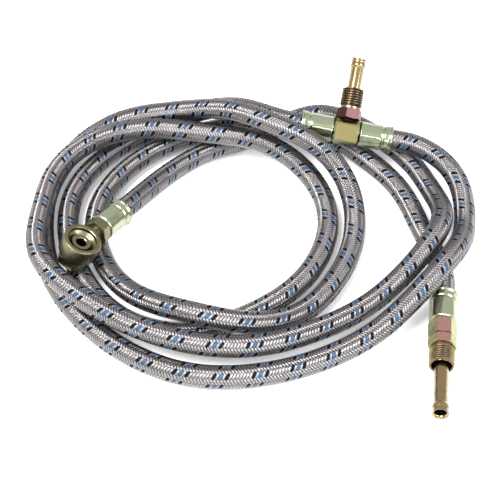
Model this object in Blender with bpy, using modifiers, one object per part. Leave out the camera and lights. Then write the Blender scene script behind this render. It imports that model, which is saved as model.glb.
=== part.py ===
# Braided fuel line, lying coiled: a banjo union, a long steel-braided hose, a tee with a
# threaded stud, a second long hose, and a threaded stud with a plain stub tube at its end.
# Metres, +Z up. The origin is on the floor, under the middle of the fittings' box.
import math

import bmesh
import bpy
import numpy as np
from mathutils import Matrix, Vector

# Fit between pieces that seat on each other
clearance = 0.0003

# Hose
hose_diameter = 0.0130
hose_bore = 0.0084
hose_point_gap = 0.0340
hose_straight = 0.0100

# Crimped ferrule, along its axis from the mouth
ferrule_length = 0.0205
ferrule_wall = 0.0009
ferrule_lip = 0.0022
ferrule_lip_hole = 0.0106
mouth_rim = 0.0084
mouth_rim_length = 0.0018
mouth_gap = 0.0008
band_length = 0.0047
waist_length = 0.0010
waist_depth = 0.0006
crimp_flats = 8
crimp_depth = 0.0002
crimp_margin = 0.0009

# Barbed tail that the crimp holds in the hose
tail_bore = 0.0050
barb_count = 3
barb_pitch = 0.0044
barb_root = 0.0035
barb_crest = 0.0039
tail_tip_inset = 0.0012
shoulder_radius = 0.0059
shoulder_length = 0.0010

# Hexagons of both studs and of the tails
hex_flats = 0.0140
hex_chamfer = 0.0006
tail_hex_length = 0.0107
stud_hex_length = 0.0064

# Threaded stud M14 with its stub tube
thread_diameter = 0.0140
thread_length = 0.0128
thread_chamfer = 0.0009
undercut_depth = 0.0009
undercut_length = 0.0014
rim_bore = 0.0112
rim_depth = 0.0040
shank_radius = 0.0049
end_shank_length = 0.0080
tube_diameter = 0.0080
tube_bore = 0.0058
tube_seat = 0.0022
bead_diameter = 0.0095
bead_length = 0.0060
bead_taper = 0.0016
end_tube_out = 0.0313
tee_tube_out = 0.0190
tee_hex_turn = math.radians(15)

# Tee block
block_size = 0.0145
block_chamfer = 0.0036
block_bevel = 0.0005
branch_socket = 0.0040
run_socket = 0.0019

# Banjo union
eye_diameter = 0.0220
eye_height = 0.0110
eye_hole = 0.0120
eye_recess = 0.0166
eye_recess_depth = 0.0022
eye_cone_depth = 0.0018
eye_bevel = 0.0009
eye_distance = 0.0410
neck_hex_length = 0.0060
neck_radius = 0.0052
bolt_bore = 0.0060
bolt_waist = 0.0092
bolt_waist_height = 0.0046
bolt_cross_hole = 0.0026
bolt_cross_turn = math.radians(8)
bolt_end_inset = 0.0026
bolt_bore_floor = 0.0030
head_flats = 0.0170
head_height = 0.0060
washer_diameter = 0.0190
washer_height = 0.0012

# Faces round a turned piece: outside ones, and those inside the hose
steps = 20
hidden_steps = 12

# Coil as a whole: the fittings' places and the routes spread with its width and depth
coil_width = 0.2650
coil_depth = 0.2392

# Where the fittings lie, from the middle of the coil, and the way they point
middle_x = -0.0043
middle_y = 0.0060
end_x = 0.1092
end_y = -0.0433
end_z = 0.0084
tee_x = 0.0594
tee_y = 0.0765
tee_z = 0.0255
eye_x = -0.0958
eye_y = -0.0237
eye_z = 0.0295
end_along = Vector((-0.119, -0.993, 0.0))
tee_run = Vector((0.9835, -0.1388, -0.1164)).normalized()
branch_rise = math.radians(40)
eye_axis = Vector((0.400, 0.0, 0.917)).normalized()
eye_to_hose = Vector((0.487, 0.847, -0.2124))
upward = Vector((0.0, 0.0, 1.0))

# Routes of the two hoses as they lie, in millimetres from the same middle, between the
# straight ends, for a coil as wide and as deep as the two sizes after them
banjo_route = [
    (-52, 54, 9), (-25, 79, 7), (7, 90, 11), (43, 95, 23), (74, 92, 12.5), (97.5, 73, 6.6),
    (111.5, 37, 9.6), (110.5, 0, 22), (95, -26, 20.5), (67, -52, 12), (37, -71, 12), (5, -84, 15),
    (-31, -84, 17), (-66, -72, 19), (-97, -51.5, 21), (-119.5, -24, 22), (-122, 15, 21),
    (-116, 48, 21), (-96, 71, 23), (-65, 81, 24), (-27, 79, 22), (9, 74, 18), (35, 56, 10),
    (46, 29, 7), (42, -7, 7), (26, -35, 7), (-5, -58.5, 7), (-38, -69, 6.8), (-69, -60, 7),
    (-94, -32, 7), (-107, 4, 7), (-107, 40, 7), (-93, 70, 6.8), (-63, 97, 7.5), (-35, 105, 16),
    (-3, 95, 28)]
stud_route = [
    (124.5, 47, 15.8), (127, 11, 11), (116, -22, 22), (95, -49, 20), (69, -72, 11.5), (38, -88, 7),
    (2, -98.5, 7), (-34, -97.5, 7), (-68, -82, 7), (-95, -57, 7), (-114.5, -25, 7), (-123, 11, 7),
    (-122, 48, 7), (-108.5, 76, 11), (-82, 93, 19), (-46, 95, 26), (-10, 84, 36), (12, 71, 38),
    (44, 58, 27), (60, 35, 15), (62, 9, 8), (50, -28, 7), (27, -57, 8.5), (-5, -70, 17.5),
    (-33, -67, 22.5), (-62, -50, 16), (-85, -16, 8), (-92, 20, 7), (-82, 53, 7), (-58, 80, 7),
    (-25, 98, 7), (11, 107.5, 6.8), (42, 99.5, 6.8), (72.5, 72, 6.8), (91, 45, 7), (102, 10, 6.8)]
route_width = 265.0
route_depth = 239.2
millimetre = 0.001

# Sizes that follow from those above
hose_radius = hose_diameter / 2
ferrule_inner = hose_radius + clearance
crimp_radius = ferrule_inner + ferrule_wall
lip_start = ferrule_length - ferrule_lip
shoulder_end = lip_start - clearance
hose_end = shoulder_end - shoulder_length - clearance
neck_seat = ferrule_length + clearance
tube_socket = tube_diameter / 2 + clearance
spread_x = coil_width / (route_width * millimetre)
spread_y = coil_depth / (route_depth * millimetre)
coil_middle = Vector((middle_x, middle_y, 0.0))
end_mouth = coil_middle + Vector((end_x * spread_x, end_y * spread_y, end_z))
tee_centre = coil_middle + Vector((tee_x * spread_x, tee_y * spread_y, tee_z))
eye_centre = coil_middle + Vector((eye_x * spread_x, eye_y * spread_y, eye_z))


def clear_scene():
    for item in list(bpy.data.objects):
        bpy.data.objects.remove(item, do_unlink=True)


def make_collection(name):
    group = bpy.data.collections.new(name)
    bpy.context.scene.collection.children.link(group)
    return group


def make_material(name, colour, metallic, roughness):
    material = bpy.data.materials.new(name)
    material.use_nodes = True
    shader = material.node_tree.nodes["Principled BSDF"]
    shader.inputs["Base Color"].default_value = (*colour, 1.0)
    shader.inputs["Metallic"].default_value = metallic
    shader.inputs["Roughness"].default_value = roughness
    return material


def make_frame(name, origin, along, upper):
    # an empty whose Z runs along a fitting and whose Y is as near as can be to upper
    z = along.normalized()
    y = (upper - z * upper.dot(z)).normalized()
    frame = bpy.data.objects.new(name, None)
    frame.matrix_world = Matrix.LocRotScale(origin, Matrix((y.cross(z), y, z)).transposed(), None)
    frame.empty_display_size = 0.01
    parts.objects.link(frame)
    return frame


def add_object(name, mesh, frame, material):
    item = bpy.data.objects.new(name, mesh)
    item.parent = frame
    if material:
        mesh.materials.append(material)
        parts.objects.link(item)
    else:
        item.hide_render = True
        item.display_type = "WIRE"
        cutters.objects.link(item)
    return item


def turned(name, outline, frame, material=None, around=steps):
    # outline of (radius, height) pairs, down the outer side; a ring comes back up its bore
    mesh = bpy.data.meshes.new(name)
    points = [(radius, 0.0, height) for radius, height in outline]
    edges = [(i, i + 1) for i in range(len(points) - 1)]
    if outline[0][0] > 0:
        edges.append((len(points) - 1, 0))
    mesh.from_pydata(points, edges, [])
    item = add_object(name, mesh, frame, material)
    screw = item.modifiers.new("Turn", "SCREW")
    screw.steps = around
    screw.render_steps = around
    screw.use_merge_vertices = True
    screw.merge_threshold = 0.00001
    screw.use_smooth_shade = False
    return item


def prism(name, flats, low, high, frame, material=None, sides=6):
    # a bar with one flat facing the frame's +Y
    mesh = bpy.data.meshes.new(name)
    shape = bmesh.new()
    corner = flats / 2 / math.cos(math.pi / sides)
    turn = Matrix.Rotation(math.pi / sides, 4, "Z") @ Matrix.Translation((0, 0, (low + high) / 2))
    bmesh.ops.create_cone(shape, cap_ends=True, segments=sides, radius1=corner, radius2=corner,
                          depth=high - low, matrix=turn)
    shape.to_mesh(mesh)
    shape.free()
    return add_object(name, mesh, frame, material)


def combine(target, tool, operation):
    step = target.modifiers.new(operation.title(), "BOOLEAN")
    step.operation = operation
    step.object = tool
    step.solver = "EXACT"
    return target


def hexagon(name, flats, low, high, frame, material):
    # a hexagon whose corners are turned down at both ends, as on a nut
    nut = prism(name, flats, low, high, frame, material)
    corner = flats / 2 / math.cos(math.pi / 6) + hex_chamfer
    face = flats / 2 - hex_chamfer / 2
    drop = (corner - face) * math.tan(math.radians(30))
    envelope = [(0, high + clearance), (face, high + clearance), (corner, high - drop),
                (corner, low + drop), (face, low - clearance), (0, low - clearance)]
    return combine(nut, turned(name + "_corners", envelope, frame), "INTERSECT")


def tail_outline(end_radius, end_height):
    # solid of the barbed tail: top at end_height, down past the lip to the tip in the hose
    points = [(0, end_height), (end_radius, end_height)]
    neck = ferrule_lip_hole / 2 - clearance
    if end_radius != neck:
        points.append((end_radius, neck_seat))
    points += [(neck, neck_seat), (neck, shoulder_end), (shoulder_radius, shoulder_end),
               (shoulder_radius, shoulder_end - shoulder_length),
               (barb_root, shoulder_end - shoulder_length)]
    height = hose_end - barb_pitch / 2
    for index in range(barb_count):
        points.append((barb_root, height))
        points.append((barb_crest, height))
        height -= barb_pitch
        points.append((barb_root, height + barb_pitch * 0.2))
    tip = tail_tip_inset
    return points + [(barb_root, height), (barb_root * 0.9, tip), (0, tip)]


def bore_outline(radius, low, high):
    return [(0, high), (radius, high), (radius, low), (0, low)]


def add_ferrule(name, frame):
    top = crimp_radius - waist_depth
    outline = [
        (crimp_radius - 2 * waist_depth, ferrule_length),
        (crimp_radius, ferrule_length - 1.5 * waist_depth),
        (crimp_radius, band_length + 2 * waist_length),
        (top, band_length + 1.4 * waist_length),
        (top, band_length + 0.6 * waist_length),
        (crimp_radius, band_length),
        (crimp_radius, mouth_rim_length),
        (mouth_rim, mouth_rim_length / 2),
        (mouth_rim, clearance),
        (mouth_rim - clearance, 0),
        (hose_radius + mouth_gap, 0),
        (hose_radius + mouth_gap, mouth_rim_length),
        (ferrule_inner, mouth_rim_length + mouth_gap),
        (ferrule_inner, lip_start),
        (ferrule_lip_hole / 2, lip_start),
        (ferrule_lip_hole / 2, ferrule_length)]
    ferrule = turned(name, outline, frame, zinc_pale)
    # the die leaves a ring of flats between the waist and the shoulder
    low = band_length + 2 * waist_length + crimp_margin
    high = ferrule_length - 1.5 * waist_depth - crimp_margin
    flat = (crimp_radius - crimp_depth) / math.cos(math.pi / crimp_flats)
    outer = crimp_radius + 2 * ferrule_wall
    dies = [(outer, high), (outer, low), (flat, low), (flat, high)]
    return combine(ferrule, turned(name + "_dies", dies, frame, None, crimp_flats), "DIFFERENCE")


def add_stud(name, frame, seat, shank_length, bore_radius):
    # threaded stud whose hexagon stands on the height called seat
    stud = hexagon(name, hex_flats, seat, seat + stud_hex_length, frame, zinc_pink)
    thread_start = seat + stud_hex_length
    top = thread_start + thread_length
    low = seat - shank_length
    radius = thread_diameter / 2
    body = [(0, top), (radius - thread_chamfer, top), (radius, top - thread_chamfer),
            (radius, thread_start + undercut_length + undercut_depth),
            (radius - undercut_depth, thread_start + undercut_length),
            (radius - undercut_depth, seat + hex_chamfer), (shank_radius, seat + hex_chamfer),
            (shank_radius, low), (0, low)]
    combine(stud, turned(name + "_body", body, frame), "UNION")
    tube_start = seat + tube_seat
    past = top + clearance
    bore = [(0, past), (rim_bore / 2, past), (rim_bore / 2, top - rim_depth),
            (tube_socket, top - rim_depth), (tube_socket, tube_start),
            (bore_radius, tube_start), (bore_radius, low - clearance), (0, low - clearance)]
    return combine(stud, turned(name + "_bore", bore, frame), "DIFFERENCE")


def add_tube(name, frame, seat, out):
    # stub tube from its seat in the stud to the bead at its open end
    low = seat + tube_seat + clearance
    top = seat + stud_hex_length + thread_length + out
    radius = tube_diameter / 2
    bead = bead_diameter / 2
    inner = tube_bore / 2
    rounding = (bead - radius) / 2
    outline = [(bead - rounding, top), (bead, top - rounding),
               (bead, top - bead_length + bead_taper + rounding),
               (bead - rounding / 2, top - bead_length + bead_taper),
               (radius, top - bead_length), (radius, low), (inner, low), (inner, top)]
    return turned(name, outline, frame, zinc_gold)


def add_tee_tail(name, frame, depth):
    neck = ferrule_lip_hole / 2 - clearance
    tail = turned(name, tail_outline(neck, depth), frame, zinc_pale, hidden_steps)
    bore = bore_outline(tail_bore / 2, 0, depth + clearance)
    return combine(tail, turned(name + "_bore", bore, frame, None, hidden_steps), "DIFFERENCE")


def add_stud_tail(name, frame):
    # hexagon tail of the end fitting, with the socket that the stud's shank seats in
    top = neck_seat + tail_hex_length
    tail = hexagon(name, hex_flats, neck_seat, top, frame, zinc_pink)
    inner_end = neck_seat + 2 * hex_chamfer
    inner = tail_outline(ferrule_lip_hole / 2 - clearance, inner_end)
    combine(tail, turned(name + "_barbs", inner, frame, None, hidden_steps), "UNION")
    socket = shank_radius + clearance
    floor = top + clearance - end_shank_length - clearance
    bore = [(0, top + clearance), (socket, top + clearance), (socket, floor),
            (tail_bore / 2, floor), (tail_bore / 2, 0), (0, 0)]
    return combine(tail, turned(name + "_bore", bore, frame), "DIFFERENCE")


def add_tee_block(name, frame):
    half = block_size / 2
    mesh = bpy.data.meshes.new(name)
    shape = bmesh.new()
    bmesh.ops.create_cube(shape, size=block_size)
    # the long edge that faces the viewer, beside the branch, is planed off
    planed = [e for e in shape.edges
              if all(v.co.y < 0 < v.co.z for v in e.verts)]
    bmesh.ops.bevel(shape, geom=planed, offset=block_chamfer, segments=1, affect="EDGES")
    shape.to_mesh(mesh)
    shape.free()
    block = add_object(name, mesh, frame, zinc_olive)
    bevel = block.modifiers.new("Edges", "BEVEL")
    bevel.width = block_bevel
    bevel.segments = 1
    bevel.limit_method = "ANGLE"
    bevel.angle_limit = math.radians(30)
    branch = [(0, half + clearance), (shank_radius + clearance, half + clearance),
              (shank_radius + clearance, half - branch_socket),
              (tail_bore / 2, half - branch_socket), (tail_bore / 2, 0), (0, 0)]
    combine(block, turned(name + "_branch_bore", branch, frame), "DIFFERENCE")
    neck = ferrule_lip_hole / 2
    run = [(0, half + clearance), (neck, half + clearance), (neck, half - run_socket),
           (tail_bore / 2, half - run_socket), (tail_bore / 2, run_socket - half),
           (neck, run_socket - half), (neck, -half - clearance), (0, -half - clearance)]
    run_tool = turned(name + "_run_bore", run, frame)
    run_tool.rotation_euler = (0, math.pi / 2, 0)
    return combine(block, run_tool, "DIFFERENCE")


def add_banjo_eye(name, frame, eye):
    # tail and hexagon along the neck, joined to the ring that the bolt passes through
    top = neck_seat + neck_hex_length
    body = hexagon(name, hex_flats, neck_seat, top, frame, zinc_olive)
    inner = tail_outline(ferrule_lip_hole / 2 - clearance, neck_seat + 2 * hex_chamfer)
    combine(body, turned(name + "_barbs", inner, frame, None, hidden_steps), "UNION")
    neck = bore_outline(neck_radius, top - 2 * hex_chamfer, eye_distance)
    combine(body, turned(name + "_neck", neck, frame), "UNION")
    half = eye_height / 2
    outer = eye_diameter / 2
    ring = [(0, half), (outer - eye_bevel, half), (outer, half - eye_bevel),
            (outer, eye_bevel - half), (outer - eye_bevel, -half), (0, -half)]
    combine(body, turned(name + "_ring", ring, eye), "UNION")
    bore = bore_outline(tail_bore / 2, 0, eye_distance)
    combine(body, turned(name + "_bore", bore, frame, None, hidden_steps), "DIFFERENCE")
    past = half + clearance
    recess = half - eye_recess_depth
    hole = [(0, past), (eye_recess / 2, past), (eye_recess / 2, recess),
            (eye_hole / 2, recess - eye_cone_depth), (eye_hole / 2, -past), (0, -past)]
    return combine(body, turned(name + "_hole", hole, eye), "DIFFERENCE")


def add_banjo_bolt(name, eye):
    # hollow bolt: its head is under the eye and its drilled end stands in the eye's recess
    head_top = -eye_height / 2 - washer_height - 2 * clearance
    bolt = hexagon(name, head_flats, head_top - head_height, head_top, eye, zinc_olive)
    radius = eye_hole / 2 - clearance
    waist = bolt_waist / 2
    top = eye_height / 2 - bolt_end_inset
    half_waist = bolt_waist_height / 2
    slope = radius - waist
    shank = [(0, top), (radius - clearance, top), (radius, top - clearance),
             (radius, half_waist + slope), (waist, half_waist), (waist, -half_waist),
             (radius, -half_waist - slope), (radius, head_top - hex_chamfer),
             (0, head_top - hex_chamfer)]
    combine(bolt, turned(name + "_shank", shank, eye), "UNION")
    floor = -half_waist - bolt_bore_floor / 2
    drilled = [(0, top + clearance), (bolt_bore / 2 + clearance, top + clearance),
               (bolt_bore / 2, top - clearance), (bolt_bore / 2, floor),
               (0, floor - bolt_bore / 4)]
    combine(bolt, turned(name + "_bore", drilled, eye), "DIFFERENCE")
    reach = bolt_waist - clearance
    cross = turned(name + "_cross_hole", bore_outline(bolt_cross_hole / 2, -reach, reach),
                   eye, None, hidden_steps)
    cross.rotation_euler = (0, math.pi / 2, bolt_cross_turn)
    return combine(bolt, cross, "DIFFERENCE")


def add_washer(name, eye):
    high = -eye_height / 2 - clearance
    low = high - washer_height
    outer = washer_diameter / 2
    inner = eye_hole / 2
    return turned(name, [(outer, high), (outer, low), (inner, low), (inner, high)], eye, copper)


def smooth_curve(points):
    # natural cubic curve through the points, read again at even steps along its length
    knots = np.array([list(point) for point in points])
    t = np.concatenate([[0.0], np.cumsum(np.linalg.norm(np.diff(knots, axis=0), axis=1))])
    h = np.diff(t)
    count = len(knots)
    bend = np.eye(count)
    right = np.zeros((count, 3))
    for i in range(1, count - 1):
        bend[i, i - 1:i + 2] = h[i - 1], 2 * (h[i - 1] + h[i]), h[i]
        right[i] = 6 * ((knots[i + 1] - knots[i]) / h[i] - (knots[i] - knots[i - 1]) / h[i - 1])
    m = np.linalg.solve(bend, right)
    fine = []
    for u in np.linspace(0, t[-1], 1200):
        i = min(max(int(np.searchsorted(t, u)) - 1, 0), count - 2)
        x = t[i + 1] - u
        y = u - t[i]
        fine.append((m[i] * x ** 3 + m[i + 1] * y ** 3) / (6 * h[i])
                    + (knots[i] / h[i] - m[i] * h[i] / 6) * x
                    + (knots[i + 1] / h[i] - m[i + 1] * h[i] / 6) * y)
    fine = np.array(fine)
    along = np.concatenate([[0.0], np.cumsum(np.linalg.norm(np.diff(fine, axis=0), axis=1))])
    even = np.linspace(0, along[-1], round(along[-1] / hose_point_gap) + 1)
    return [Vector([np.interp(s, along, fine[:, axis]) for axis in range(3)]) for s in even]


def add_hose(name, start, route, end):
    # from inside one ferrule to inside the other; both ends are bored for the tails
    along = [frame.matrix_world.to_3x3() @ upward for frame in (start, end)]
    mouths = [frame.matrix_world.translation for frame in (start, end)]
    middle = [coil_middle + Vector((x * spread_x, y * spread_y, z)) * millimetre
              for x, y, z in route]
    knots = [mouths[0], mouths[0] - along[0] * hose_straight, *middle,
             mouths[1] - along[1] * hose_straight, mouths[1]]
    points = [mouths[0] + along[0] * hose_end, *smooth_curve(knots),
              mouths[1] + along[1] * hose_end]
    curve = bpy.data.curves.new(name + "_route", "CURVE")
    curve.dimensions = "3D"
    curve.bevel_depth = hose_radius
    curve.bevel_resolution = 2
    curve.use_fill_caps = True
    spline = curve.splines.new("POLY")
    spline.points.add(len(points) - 1)
    for target, point in zip(spline.points, points):
        target.co = (point.x, point.y, max(point.z, hose_radius), 1)
    guide = bpy.data.objects.new(name + "_route", curve)
    parts.objects.link(guide)
    evaluated = guide.evaluated_get(bpy.context.evaluated_depsgraph_get())
    mesh = bpy.data.meshes.new_from_object(evaluated)
    mesh.name = name
    shape = bmesh.new()
    shape.from_mesh(mesh)
    bmesh.ops.remove_doubles(shape, verts=shape.verts, dist=0.00001)
    shape.to_mesh(mesh)
    shape.free()
    hose = add_object(name, mesh, None, braid)
    hose.matrix_world = guide.matrix_world.copy()
    bpy.data.objects.remove(guide, do_unlink=True)
    for frame in (start, end):
        bore = bore_outline(hose_bore / 2, clearance, hose_end + clearance)
        tool = turned(name + "_bore", bore, frame, None, hidden_steps)
        combine(hose, tool, "DIFFERENCE")
    return hose


clear_scene()
parts = make_collection("braided_fuel_line")
cutters = make_collection("cutters")

braid = make_material("braid", (0.55, 0.54, 0.56), 0.9, 0.45)
zinc_pale = make_material("zinc_pale", (0.62, 0.63, 0.50), 0.9, 0.32)
zinc_olive = make_material("zinc_olive", (0.48, 0.42, 0.20), 0.9, 0.34)
zinc_pink = make_material("zinc_pink", (0.42, 0.26, 0.24), 0.9, 0.36)
zinc_gold = make_material("zinc_gold", (0.60, 0.43, 0.20), 0.9, 0.30)
copper = make_material("copper", (0.55, 0.32, 0.18), 0.9, 0.40)

# Frames: each fitting's Z leads away from its hose, and the eye's own Z is its bolt's axis
end_fitting = make_frame("end_fitting", end_mouth, end_along, upward)
side = upward.cross(tee_run).normalized()
branch_axis = side * math.cos(branch_rise) + tee_run.cross(side) * math.sin(branch_rise)
tee = make_frame("tee", tee_centre, branch_axis, branch_axis.cross(tee_run))
tee_reach = block_size / 2 + clearance + ferrule_length + clearance
tee_left = make_frame("tee_left", tee_centre - tee_run * tee_reach, tee_run, upward)
tee_right = make_frame("tee_right", tee_centre + tee_run * tee_reach, -tee_run, upward)
neck_axis = (eye_to_hose - eye_axis * eye_to_hose.dot(eye_axis)).normalized()
banjo = make_frame("banjo", eye_centre + neck_axis * eye_distance, -neck_axis, eye_axis)
eye = make_frame("eye", eye_centre, eye_axis, neck_axis)
stud_frame = make_frame("tee_stud_axis", tee_centre, branch_axis,
                        Matrix.Rotation(tee_hex_turn, 3, branch_axis) @ side)
bpy.context.view_layer.update()

for place, frame in (("banjo", banjo), ("tee_left", tee_left), ("tee_right", tee_right),
                     ("stud", end_fitting)):
    add_ferrule("ferrule_" + place, frame)

tail_depth = tee_reach - block_size / 2 + run_socket - clearance
add_tee_tail("tee_tail_left", tee_left, tail_depth)
add_tee_tail("tee_tail_right", tee_right, tail_depth)
add_tee_block("tee_body", tee)
add_stud("tee_stud", stud_frame, block_size / 2 + clearance, branch_socket, tail_bore / 2)
add_tube("tee_stub_tube", stud_frame, block_size / 2 + clearance, tee_tube_out)

add_stud_tail("stud_tail", end_fitting)
end_seat = neck_seat + tail_hex_length + clearance
add_stud("end_stud", end_fitting, end_seat, end_shank_length, tail_bore / 2)
add_tube("end_stub_tube", end_fitting, end_seat, end_tube_out)

add_banjo_eye("banjo_eye", banjo, eye)
add_banjo_bolt("banjo_bolt", eye)
add_washer("banjo_washer", eye)

add_hose("hose_banjo_to_tee", banjo, banjo_route, tee_left)
add_hose("hose_tee_to_stud", tee_right, stud_route, end_fitting)
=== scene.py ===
import math

import bmesh
import bpy
import numpy as np
from mathutils import Matrix, Vector


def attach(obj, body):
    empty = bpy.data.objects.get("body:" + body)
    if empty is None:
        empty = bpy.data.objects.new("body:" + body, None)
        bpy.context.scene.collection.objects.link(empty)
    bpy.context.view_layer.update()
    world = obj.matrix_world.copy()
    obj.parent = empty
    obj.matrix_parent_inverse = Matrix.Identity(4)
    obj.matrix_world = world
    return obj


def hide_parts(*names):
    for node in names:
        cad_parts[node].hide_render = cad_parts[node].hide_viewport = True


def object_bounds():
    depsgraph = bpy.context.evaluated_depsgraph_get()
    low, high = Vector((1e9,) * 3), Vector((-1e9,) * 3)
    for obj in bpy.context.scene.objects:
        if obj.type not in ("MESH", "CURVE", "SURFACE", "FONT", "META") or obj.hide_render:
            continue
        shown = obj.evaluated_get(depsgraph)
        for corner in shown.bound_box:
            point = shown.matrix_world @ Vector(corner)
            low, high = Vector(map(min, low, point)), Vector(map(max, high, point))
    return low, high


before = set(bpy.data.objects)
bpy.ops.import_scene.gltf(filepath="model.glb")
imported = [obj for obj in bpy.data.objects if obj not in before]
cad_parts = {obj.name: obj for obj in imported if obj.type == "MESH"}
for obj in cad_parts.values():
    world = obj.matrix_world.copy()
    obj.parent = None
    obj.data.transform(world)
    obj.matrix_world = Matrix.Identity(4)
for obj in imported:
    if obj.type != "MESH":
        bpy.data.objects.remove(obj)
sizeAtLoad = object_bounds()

# Braided fuel line, coiled: fine fittings, woven braid with coloured tracers, studio.
# Places are in metres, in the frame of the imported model.
mm = 0.001
upward = Vector((0, 0, 1))
coilMiddle = Vector((-4.3, 6.0, 0)) * mm


def hexColour(code):
    # sRGB hex to the linear values that a shader takes
    channels = [int(code[i:i + 2], 16) / 255 for i in (1, 3, 5)]
    linear = [c / 12.92 if c <= 0.04045 else ((c + 0.055) / 1.055) ** 2.4 for c in channels]
    return (*linear, 1.0)


def addObject(name, data):
    item = bpy.data.objects.new(name, data)
    bpy.context.scene.collection.objects.link(item)
    return item


# Camera at the photograph's angle, aimed at the middle of the coil
cameraSpec = {"distance": 0.77, "elevation": math.radians(47), "lens": 93.6, "sensor": 36,
              "nearest": 0.01}


def placeCamera(spec):
    data = bpy.data.cameras.new("photoCamera")
    data.lens = spec["lens"]
    data.sensor_width = spec["sensor"]
    data.clip_start = spec["nearest"]
    camera = addObject("photoCamera", data)
    back = Vector((0, -math.cos(spec["elevation"]), math.sin(spec["elevation"])))
    camera.location = coilMiddle + back * spec["distance"]
    camera.rotation_euler = (math.pi / 2 - spec["elevation"], 0, 0)
    bpy.context.scene.camera = camera


# Soft lamps: direction from the coil, distance, width, depth, power, colour
lampSpec = {
    "keySoftbox": ((-0.45, -0.35, 1.0), 1.2, 0.6, 0.6, 29, "#FFFDF8"),
    "fillSoftbox": ((1.0, -0.4, 0.8), 1.3, 0.4, 0.8, 16, "#F6F9FF"),
    "frontStrip": ((0.1, -1.0, 0.5), 1.3, 1.2, 0.16, 8, "#ECFFF8"),
}


def placeLamps(spec):
    for name, (direction, distance, width, depth, power, colour) in spec.items():
        light = bpy.data.lights.new(name, "AREA")
        light.shape = "RECTANGLE"
        light.size = width
        light.size_y = depth
        light.energy = power
        light.color = hexColour(colour)[:3]
        lamp = addObject(name, light)
        toward = Vector(direction).normalized()
        lamp.location = coilMiddle + toward * distance
        lamp.rotation_euler = toward.to_track_quat("Z", "Y").to_euler()


def addNode(tree, kind, sockets=None, stops=(), **settings):
    # stops are the places and colours of a colour ramp
    made = tree.nodes.new(kind)
    for key, value in settings.items():
        setattr(made, key, value)
    for key, value in (sockets or {}).items():
        if isinstance(value, bpy.types.NodeSocket):
            tree.links.new(value, made.inputs[key])
        else:
            made.inputs[key].default_value = value
    if stops:
        elements = made.color_ramp.elements
        while len(elements) < len(stops):
            elements.new(0.5)
        for element, (position, colour) in zip(elements, stops):
            element.position = position
            element.color = hexColour(colour)
    return made


def newMaterial(name):
    material = bpy.data.materials.new(name)
    material.use_nodes = True
    return material, material.node_tree, material.node_tree.nodes["Principled BSDF"]


def shownRays(tree):
    # 1 for the rays by which the camera, shiny pieces and clear pieces see a surface
    path = addNode(tree, "ShaderNodeLightPath").outputs
    seen = addNode(tree, "ShaderNodeMath", {0: path["Is Camera Ray"], 1: path["Is Glossy Ray"]},
                   operation="MAXIMUM")
    return addNode(tree, "ShaderNodeMath", {0: seen.outputs[0], 1: path["Is Transmission Ray"]},
                   operation="MAXIMUM").outputs[0]


# Light tent: it is seen as white, and lights the scene brightly from above and dimly from afar
tentSpec = {
    "heights": [(0.0, "#929E9A"), (0.35, "#8F9896"), (1.0, "#EAE4E7")],
    "farReach": (-0.2, 0.8),
    "farShare": 0.42,
}


def makeWorld(spec):
    world = bpy.data.worlds.new("studio")
    world.use_nodes = True
    bpy.context.scene.world = world
    tree = world.node_tree
    tree.nodes.clear()
    direction = addNode(tree, "ShaderNodeTexCoord").outputs["Generated"]
    parts = addNode(tree, "ShaderNodeSeparateXYZ", {0: direction})
    far = addNode(tree, "ShaderNodeMapRange", {
        "Value": parts.outputs["Y"], "From Min": spec["farReach"][0],
        "From Max": spec["farReach"][1], "To Min": 1.0, "To Max": spec["farShare"]})
    height = addNode(tree, "ShaderNodeValToRGB", {"Fac": parts.outputs["Z"]}, spec["heights"])
    tent = addNode(tree, "ShaderNodeVectorMath", {
        0: height.outputs["Color"], 1: far.outputs["Result"]}, operation="MULTIPLY")
    lit = addNode(tree, "ShaderNodeBackground", {"Color": tent.outputs[0]})
    white = addNode(tree, "ShaderNodeBackground", {"Color": hexColour("#FFFFFF")})
    mixed = addNode(tree, "ShaderNodeMixShader", {
        0: shownRays(tree), 1: lit.outputs[0], 2: white.outputs[0]})
    addNode(tree, "ShaderNodeOutputWorld", {"Surface": mixed.outputs[0]})


# Floor: matt white paper, which glows a little where it is seen, more so far from the coil,
# so that it comes out white and keeps its shadows
floorSpec = {
    "size": 6.0,
    "drop": 0.2 * mm,
    "colour": "#F4F4F4",
    "roughness": 0.7,
    "specular": 0.2,
    "glow": (0.3, 1.0),
    "glowReach": (0.25, 1.1),
}


def makeFloor(spec):
    mesh = bpy.data.meshes.new("paleFloor")
    shape = bmesh.new()
    bmesh.ops.create_grid(shape, x_segments=1, y_segments=1, size=spec["size"] / 2)
    shape.to_mesh(mesh)
    shape.free()
    floor = addObject("paleFloor", mesh)
    floor.location = (0, 0, sizeAtLoad[0][2] - spec["drop"])
    material, tree, shader = newMaterial("whiteSweep")
    place = addNode(tree, "ShaderNodeTexCoord").outputs["Object"]
    away = addNode(tree, "ShaderNodeVectorMath", {0: place}, operation="LENGTH")
    share = addNode(tree, "ShaderNodeMapRange", {
        "Value": away.outputs["Value"], "From Min": spec["glowReach"][0],
        "From Max": spec["glowReach"][1], "To Min": spec["glow"][0], "To Max": spec["glow"][1]})
    glow = addNode(tree, "ShaderNodeMath", {0: shownRays(tree), 1: share.outputs["Result"]},
                   operation="MULTIPLY")
    tree.links.new(glow.outputs[0], shader.inputs["Emission Strength"])
    shader.inputs["Emission Color"].default_value = hexColour("#FFFFFF")
    shader.inputs["Base Color"].default_value = hexColour(spec["colour"])
    shader.inputs["Roughness"].default_value = spec["roughness"]
    shader.inputs["Specular IOR Level"].default_value = spec["specular"]
    mesh.materials.append(material)


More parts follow.
